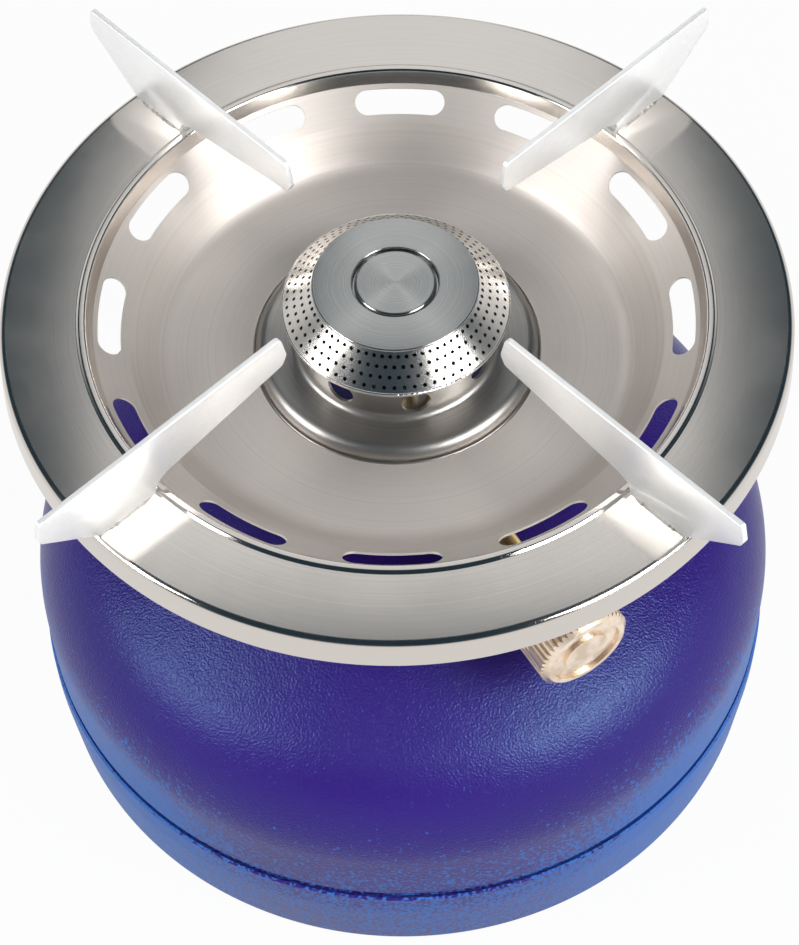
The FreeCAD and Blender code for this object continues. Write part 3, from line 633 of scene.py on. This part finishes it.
def slot_cutters():
    """Round-ended bars bent around the ledge, square to its sheet."""
    slope = Vector((math.cos(LEDGE_SLOPE), math.sin(LEDGE_SLOPE)))
    square = Vector((-slope.y, slope.x))
    middle = Vector((SLOT_MID_R, ledge_inner_z + (SLOT_MID_R - LEDGE_INNER_R) * math.tan(LEDGE_SLOPE)))
    radius = SLOT_W / 2
    straight = math.radians(SLOT_SPAN / 2) * SLOT_MID_R - radius
    stations = []
    for k in range(SLOT_END_STEPS + 1):
        turn = math.radians(SLOT_END_ANGLE + (90 - SLOT_END_ANGLE) * k / SLOT_END_STEPS)
        stations.append((-straight - radius * math.cos(turn), radius * math.sin(turn)))
    for k in range(1, SLOT_SIDE_STEPS):
        stations.append((-straight + 2 * straight * k / SLOT_SIDE_STEPS, radius))
    stations += [(-x, w) for x, w in stations[SLOT_END_STEPS::-1]]
    vertices = []
    faces = []
    for slot in range(SLOTS):
        first = len(vertices)
        for x, w in stations:
            out = spoke(360 / SLOTS * slot + math.degrees(x / SLOT_MID_R))
            for side, end in ((-1, -1), (1, -1), (1, 1), (-1, 1)):
                flat = middle + slope * (side * w) + square * (end * SLOT_CUT_H)
                vertices.append(out * flat.x + Vector((0, 0, flat.y)))
        for k in range(len(stations) - 1):
            for i in range(4):
                j = (i + 1) % 4
                a = first + 4 * k
                faces.append((a + i, a + j, a + 4 + j, a + 4 + i))
        last = first + 4 * (len(stations) - 1)
        faces.append((first + 3, first + 2, first + 1, first))
        faces.append((last, last + 1, last + 2, last + 3))
    return mesh_piece("slot_cutters", vertices, faces)


drilled(pan, slot_cutters())
install(pan, "pan", "stove",
        spun_steel("polished_flange", FLANGE_STEEL, FLANGE_STEEL_TINT, 0.12, 0.88))
pan.data.materials.append(
    spun_steel("satin_bowl", BOWL_STEEL, BOWL_STEEL_TINT, 0.52, 0.35, metallic=0.88))
for face in pan.data.polygons:
    if face.center.xy.length < LEDGE_OUTER_R * MM:
        face.material_index = 1


# Burner head: turned base plate on the mixing tube, a cone of perforated sheet whose ports'
# walls are near-black, painted shade inside the holes, and a turned cap held by a screw whose
# broad head lies in a pocket. Stainless, with lathe marks.
RING_STEEL = (0.72, 0.70, 0.67, 1)
RING_STEEL_TINT = (0.60, 0.565, 0.52, 1)
PORT_SHADE_BLACK = (0.012, 0.011, 0.010, 1)
PORT_SHADE_FLECK = (0.04, 0.036, 0.033, 1)
CAP_STEEL = (0.54, 0.54, 0.53, 1)
CAP_STEEL_TINT = (0.34, 0.34, 0.33, 1)
BASE_STEEL = (0.74, 0.72, 0.69, 1)
BASE_STEEL_TINT = (0.62, 0.6, 0.57, 1)
HEAD_R = 28.7
BASE_T = 1.1
RING_TOP_R = 20.6
RING_H = 6.9
RING_T = 0.6
RING_INSET = 0.5
RING_SEGMENTS = 272
PORT_ROWS = 4
PORTS = 68
PORT_R = 0.5
PORT_ROWS_START = 0.13
PORT_ROWS_SPAN = 0.74
PORT_DRILL_L = 2.5
PORT_DRILL_SIDES = 14
CAP_T = 2.6
CAP_RIM_H = 0.7
CAP_CROWN_RISE = 0.5
CAP_OVERHANG = 0.3
CAP_SPIGOT_GAP = 0.6
CAP_BORE_R = 3.05
POCKET_GAP = 0.6
POCKET_SPARE_DEPTH = 0.2
CAP_SCREW_R = 10.2
CAP_SCREW_T = 1.3
CAP_SCREW_SHANK_R = 3.0

base_top = head_z + BASE_T
ring_top_z = base_top + RING_H
ring_low_r = HEAD_R - RING_INSET
ring_slope = math.atan2(RING_H, ring_low_r - RING_TOP_R)
ring_wall = RING_T / math.sin(ring_slope)
ring = lathe("flame_ring", [
    (ring_low_r - ring_wall, base_top),
    (ring_low_r, base_top),
    (RING_TOP_R, ring_top_z),
    (RING_TOP_R - ring_wall, ring_top_z),
], RING_SEGMENTS)
ports = []
for row in range(PORT_ROWS):
    share = PORT_ROWS_START + PORT_ROWS_SPAN * row / (PORT_ROWS - 1)
    for k in range(PORTS):
        out = spoke(360 / PORTS * (k + 0.5 * (row % 2)))
        inward = -(out * math.sin(ring_slope) + Vector((0, 0, math.cos(ring_slope))))
        mouth = out * (ring_low_r + (RING_TOP_R - ring_low_r) * share)
        mouth.z = base_top + RING_H * share
        ports.append((mouth - inward, inward))
drilled(ring, drills("port_drills", ports, PORT_R, PORT_DRILL_L, PORT_DRILL_SIDES))
install(ring, "burner_ring", "stove",
        spun_steel("perforated_steel", RING_STEEL, RING_STEEL_TINT, 0.2, 0.3))
# The ports' walls get a near-black finish: painted shade inside the holes.
port_shading = Finish("port_soot", {"Specular IOR Level": 0.3})
port_flecks = port_shading.noise(2400, 3)
ring.data.materials.append(port_shading.feed({
    "Base Color": port_shading.blend(port_flecks, PORT_SHADE_BLACK, PORT_SHADE_FLECK),
    "Roughness": 0.7 + port_flecks * 0.2,
    "Normal": port_shading.bump(port_flecks, 0.00005, 0.5)}))
for face in ring.data.polygons:
    across = face.center.xy.normalized() * math.sin(ring_slope)
    if abs(face.normal.dot(Vector((across.x, across.y, math.cos(ring_slope))))) < 0.5:
        face.material_index = 1

cap_top = ring_top_z + CAP_RIM_H
crown = cap_top + CAP_CROWN_RISE
spigot_r = RING_TOP_R - ring_wall - CAP_SPIGOT_GAP
pocket_r = CAP_SCREW_R + POCKET_GAP
pocket_z = crown - CAP_SCREW_T - POCKET_SPARE_DEPTH
turned_cap = spun_steel(
    "turned_cap", CAP_STEEL, CAP_STEEL_TINT, 0.22, 0.88, marks=2600, mark_depth=0.00004)
cap = lathe("cap_turning", rounded([
    (CAP_BORE_R, cap_top - CAP_T, 0),
    (spigot_r, cap_top - CAP_T, 0),
    (spigot_r, ring_top_z, 0),
    (RING_TOP_R + CAP_OVERHANG, ring_top_z, 0.15),
    (RING_TOP_R + CAP_OVERHANG, cap_top, 0.45),
    (pocket_r, crown, 0.3),
    (pocket_r, pocket_z, 0.2),
    (CAP_BORE_R, pocket_z, 0),
]))
install(cap, "burner_cap", "stove", turned_cap)
screw_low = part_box("cap_screw")[0][2] / MM
screw = lathe("cap_screw_turning", rounded([
    (0, screw_low, 0),
    (CAP_SCREW_SHANK_R, screw_low, 0.3),
    (CAP_SCREW_SHANK_R, pocket_z, 0),
    (CAP_SCREW_R, pocket_z, 0),
    (CAP_SCREW_R, pocket_z + CAP_SCREW_T, 0.7),
    (0, pocket_z + CAP_SCREW_T, 0),
]))
install(screw, "cap_screw", "stove", turned_cap)
dress(["burner_base"], spun_steel("turned_base", BASE_STEEL, BASE_STEEL_TINT, 0.2, 0.4))


# Pan supports: four blades of 1.5 mm satin stainless with fine scratches along them. Their
# edges are deburred, and they stand on edge on the pan's flange.
BLADE_STEEL = (1.0, 0.995, 0.985, 1)
BLADE_STEEL_DULL = (0.72, 0.72, 0.715, 1)
SUPPORTS = 4
SUPPORT_START = 45.0
SUPPORT_T = 1.5
SUPPORT_H = 21.2
SUPPORT_TIP_R = 112.8
SUPPORT_INNER_R = 38.3
TIP_BULGE = 1.2
TIP_BULGE_DROP = 5.2
ARM_END_H = 13.8
ARM_LOW_H = 10.9
EDGE_R = 0.22
EDGE_STEPS = 3
BLADE_CREASE_ANGLE = 40

blade_finish = Finish("satin_blade", {"Metallic": 0.62, "Specular IOR Level": 0.6})
scratch_place = blade_finish.node(
    "ShaderNodeMapping", inputs={"Vector": blade_finish.place, "Scale": (1, 1, 9)})
scratches = blade_finish.noise(420, 3, scratch_place)
cloud = blade_finish.noise(45, 3)
blade_material = blade_finish.feed({
    "Base Color": blade_finish.blend(
        cloud * 0.5 + scratches * 0.5, BLADE_STEEL, BLADE_STEEL_DULL),
    "Roughness": 0.30 + scratches * 0.2,
    "Normal": blade_finish.bump(scratches, 0.00010, 0.6)})

support_top = FLANGE_Z + SUPPORT_H
blade_outline = rounded([
    (SUPPORT_INNER_R, support_top, 1.6),
    (SUPPORT_TIP_R, support_top, 0.8),
    (SUPPORT_TIP_R + TIP_BULGE, support_top - TIP_BULGE_DROP, 0.8),
    (SUPPORT_TIP_R + 0.4, FLANGE_Z + ARM_END_H, 0.8),
    (RIM_R - 1.8, FLANGE_Z, 0),
    (FLANGE_INNER_R + 0.6, FLANGE_Z, 0),
    (FLANGE_INNER_R - 0.6, FLANGE_Z + 3.4, 1.2),
    (FLANGE_INNER_R - 3.8, FLANGE_Z + 5.0, 2.0),
    (SUPPORT_INNER_R, FLANGE_Z + ARM_LOW_H, 1.6),
    (SUPPORT_INNER_R - 1.5, FLANGE_Z + ARM_END_H, 1.6),
])
for number in range(SUPPORTS):
    angle = SUPPORT_START + 360 / SUPPORTS * number
    out = spoke(angle)
    side = spoke(angle + 90)
    count = len(blade_outline)
    vertices = []
    for offset in (-SUPPORT_T / 2, SUPPORT_T / 2):
        for r, z in blade_outline:
            vertices.append(out * r + side * offset + Vector((0, 0, z)))
    faces = [list(range(count)), list(range(2 * count - 1, count - 1, -1))]
    for i in range(count):
        j = (i + 1) % count
        faces.append((j, i, count + i, count + j))
    node = "support_%d" % (number + 1)
    blade = mesh_piece(node + "_blade", vertices, faces)
    work = bmesh.new()
    work.from_mesh(blade.data)
    edges = [e for e in work.edges if len(e.link_faces) == 2 and any(len(f.verts) > 4 for f in e.link_faces)]
    bmesh.ops.bevel(
        work, geom=edges, offset=EDGE_R * MM, segments=EDGE_STEPS, profile=0.5, affect="EDGES")
    work.to_mesh(blade.data)
    work.free()
    blade.data.shade_smooth()
    blade.data.set_sharp_from_angle(angle=math.radians(BLADE_CREASE_ANGLE))
    install(blade, node, "stove", blade_material)


# Welds: a bead along both sides of each support's foot. It was laid by hand, so its leg
# wanders and tapers off at both ends, and the heat has left it dull and scaled.
WELD_GREY = (0.16, 0.15, 0.14, 1)
WELD_SCALE = (0.42, 0.40, 0.37, 1)
WELD_START = FLANGE_INNER_R + 1.5
WELD_END = RIM_R - 3.3
WELD_LEG = 0.85
WELD_LEAST_LEG = 0.08
WELD_ROOT = SUPPORT_T / 2 - 0.1
WELD_STEPS = 60
WELD_SECTION = 6
WELD_CREASE_ANGLE = 60

weld_finish = Finish("weld_bead", {"Metallic": 0.9})
scale = weld_finish.noise(900, 4)
weld_material = weld_finish.feed({
    "Base Color": weld_finish.blend(scale, WELD_GREY, WELD_SCALE),
    "Roughness": 0.35 + scale * 0.3,
    "Normal": weld_finish.bump(scale, 0.0001, 0.6)})

vertices = []
faces = []
for number in range(SUPPORTS):
    for hand in (-1, 1):
        angle = SUPPORT_START + 360 / SUPPORTS * number
        out = spoke(angle)
        side = spoke(angle + 90) * hand
        first = len(vertices)
        for k in range(WELD_STEPS + 1):
            share = k / WELD_STEPS
            r = WELD_START + (WELD_END - WELD_START) * share
            taper = min(1, 8 * share, 8 * (1 - share))
            swell = 0.75 + 0.45 * noise.noise(Vector((r * 1.3, number * 7.0, hand * 3.0)))
            leg = max(WELD_LEAST_LEG, WELD_LEG * taper * swell)
            for i in range(WELD_SECTION + 1):
                turn = math.radians(90 * i / WELD_SECTION)
                bulge = 1 - 0.25 * math.sin(2 * turn)
                across = side * (WELD_ROOT + leg * math.cos(turn) * bulge)
                vertices.append(out * r + across + Vector((0, 0, FLANGE_Z + leg * math.sin(turn) * bulge)))
            vertices.append(out * r + side * WELD_ROOT + Vector((0, 0, FLANGE_Z)))
        ring_count = WELD_SECTION + 2
        for k in range(WELD_STEPS):
            a = first + k * ring_count
            for i in range(ring_count):
                j = (i + 1) % ring_count
                faces.append((a + i, a + j, a + ring_count + j, a + ring_count + i))
        faces.append([first + i for i in range(ring_count)])
        faces.append([first + WELD_STEPS * ring_count + i for i in range(ring_count)][::-1])
welds = mesh_piece("support_weld_beads", vertices, faces, WELD_CREASE_ANGLE)
install(welds, "support_welds", "stove", weld_material)
